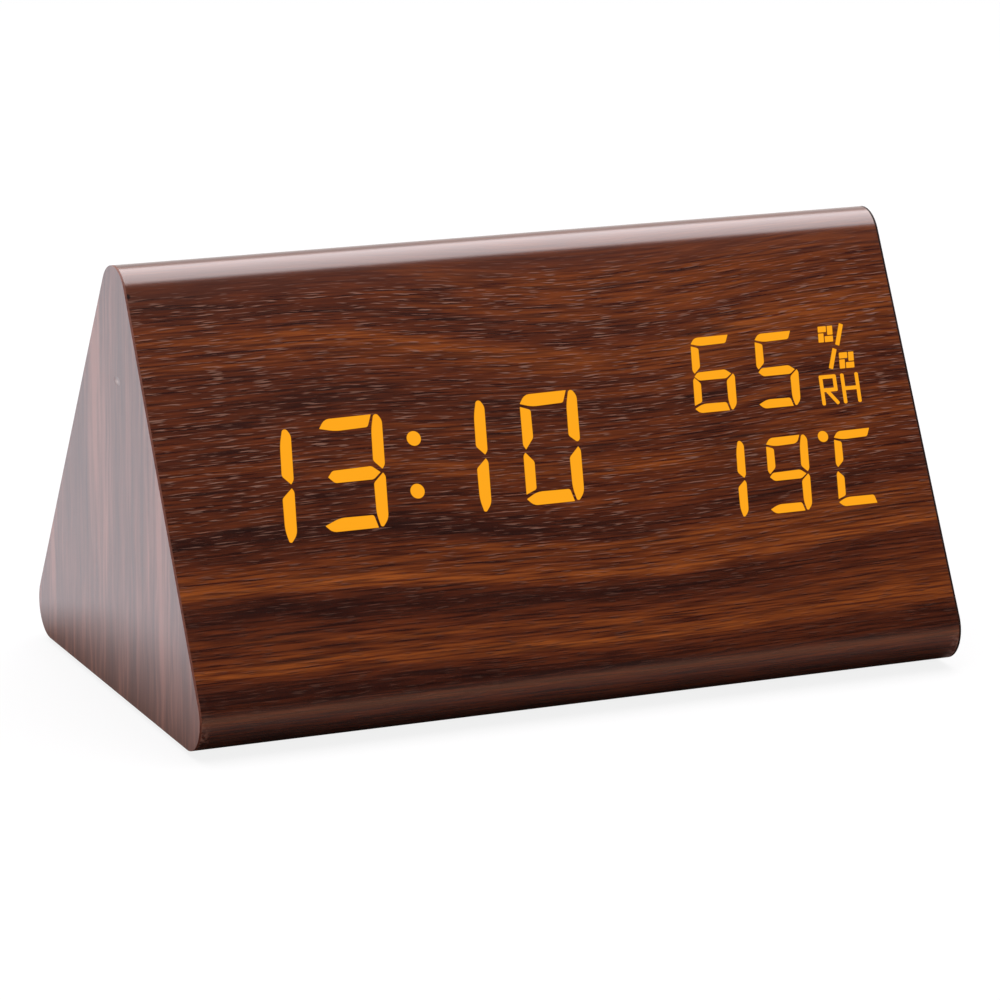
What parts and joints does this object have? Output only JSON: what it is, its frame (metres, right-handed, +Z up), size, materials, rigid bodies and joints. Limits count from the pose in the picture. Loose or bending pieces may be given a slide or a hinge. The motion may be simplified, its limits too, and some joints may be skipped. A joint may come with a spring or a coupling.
{
  "type": "digital alarm clock",
  "caption": "Three-sided wooden desk clock with lit time, humidity and temperature digits, rear buttons and a hinged battery door.",
  "frame": {"origin": "middle of the footprint, on the plane that the foot pads stand on", "axes": "+X to the right of the digits as read, -Y out of the front, +Z up"},
  "size_m": [0.15, 0.0844, 0.0793],
  "materials": {
    "walnut_foil": "satin printed foil",
    "walnut_end_foil": "satin printed foil, upright grain",
    "fibreboard": "raw",
    "amber_light": "lit from behind",
    "black_abs": "moulded",
    "pad_rubber": "foam",
    "circuit_board": "solder mask",
    "chip_plastic": "moulded",
    "zinc_steel": "zinc plated",
    "nickel": "nickel plated",
    "cell_jacket": "shrink film",
    "ribbon": "extruded",
    "sensor_plastic": "moulded"
  },
  "bodies": {
    "case": {"base_board": "fibreboard", "battery_cell_1": "cell_jacket", "battery_cell_2": "cell_jacket", "battery_cell_3": "cell_jacket", "climate_sensor": "sensor_plastic", "clock_chip": "chip_plastic", "colon": "amber_light", "contact_strip_first": "nickel", "contact_strip_last": "nickel", "contact_strip_left": "nickel", "contact_strip_right": "nickel", "control_board": "circuit_board", "control_screw_1": "zinc_steel", "control_screw_2": "zinc_steel", "degree_sign": "amber_light", "display_board": "circuit_board", "display_driver": "chip_plastic", "display_screw_1": "zinc_steel", "display_screw_2": "zinc_steel", "display_screw_3": "zinc_steel", "display_screw_4": "zinc_steel", "down_switch": "chip_plastic", "foot_pad_front_left": "pad_rubber", "foot_pad_front_right": "pad_rubber", "foot_pad_rear_left": "pad_rubber", "foot_pad_rear_right": "pad_rubber", "front_board": "fibreboard", "hour_tens": "amber_light", "hour_units": "amber_light", "humidity_legend": "amber_light", "humidity_tens": "amber_light", "humidity_units": "amber_light", "left_end_board": "fibreboard", "left_end_foil": "walnut_end_foil", "minute_tens": "amber_light", "minute_units": "amber_light", "panel_screw_1": "zinc_steel", "panel_screw_2": "zinc_steel", "panel_screw_3": "zinc_steel", "panel_screw_4": "zinc_steel", "percent_sign": "amber_light", "power_socket": "chip_plastic", "rear_board": "fibreboard", "rear_panel": "black_abs", "reflector_grid": "black_abs", "ribbon_cable": "ribbon", "right_end_board": "fibreboard", "right_end_foil": "walnut_end_foil", "set_switch": "chip_plastic", "sounder": "chip_plastic", "temperature_tens": "amber_light", "temperature_units": "amber_light", "up_switch": "chip_plastic", "wrap_foil": "walnut_foil"},
    "set_key": {"set_button": "black_abs"},
    "down_key": {"down_button": "black_abs"},
    "up_key": {"up_button": "black_abs"},
    "door": {"battery_door": "black_abs"}
  },
  "joints": [
    {"name": "set_press", "type": "slide", "parent": "case", "child": "set_key", "axis": [0, -0.8773, -0.4799], "range_m": [0, 0.0005], "stiffness_N_per_m": 300},
    {"name": "down_press", "type": "slide", "parent": "case", "child": "down_key", "axis": [0, -0.8773, -0.4799], "range_m": [0, 0.0005], "stiffness_N_per_m": 300},
    {"name": "up_press", "type": "slide", "parent": "case", "child": "up_key", "axis": [0, -0.8773, -0.4799], "range_m": [0, 0.0005], "stiffness_N_per_m": 300},
    {"name": "door_swing", "type": "hinge", "parent": "case", "child": "door", "pos_m": [0, 0.03528, 0.01859], "axis": [-1, 0, 0], "range_deg": [0, 90]}
  ]
}
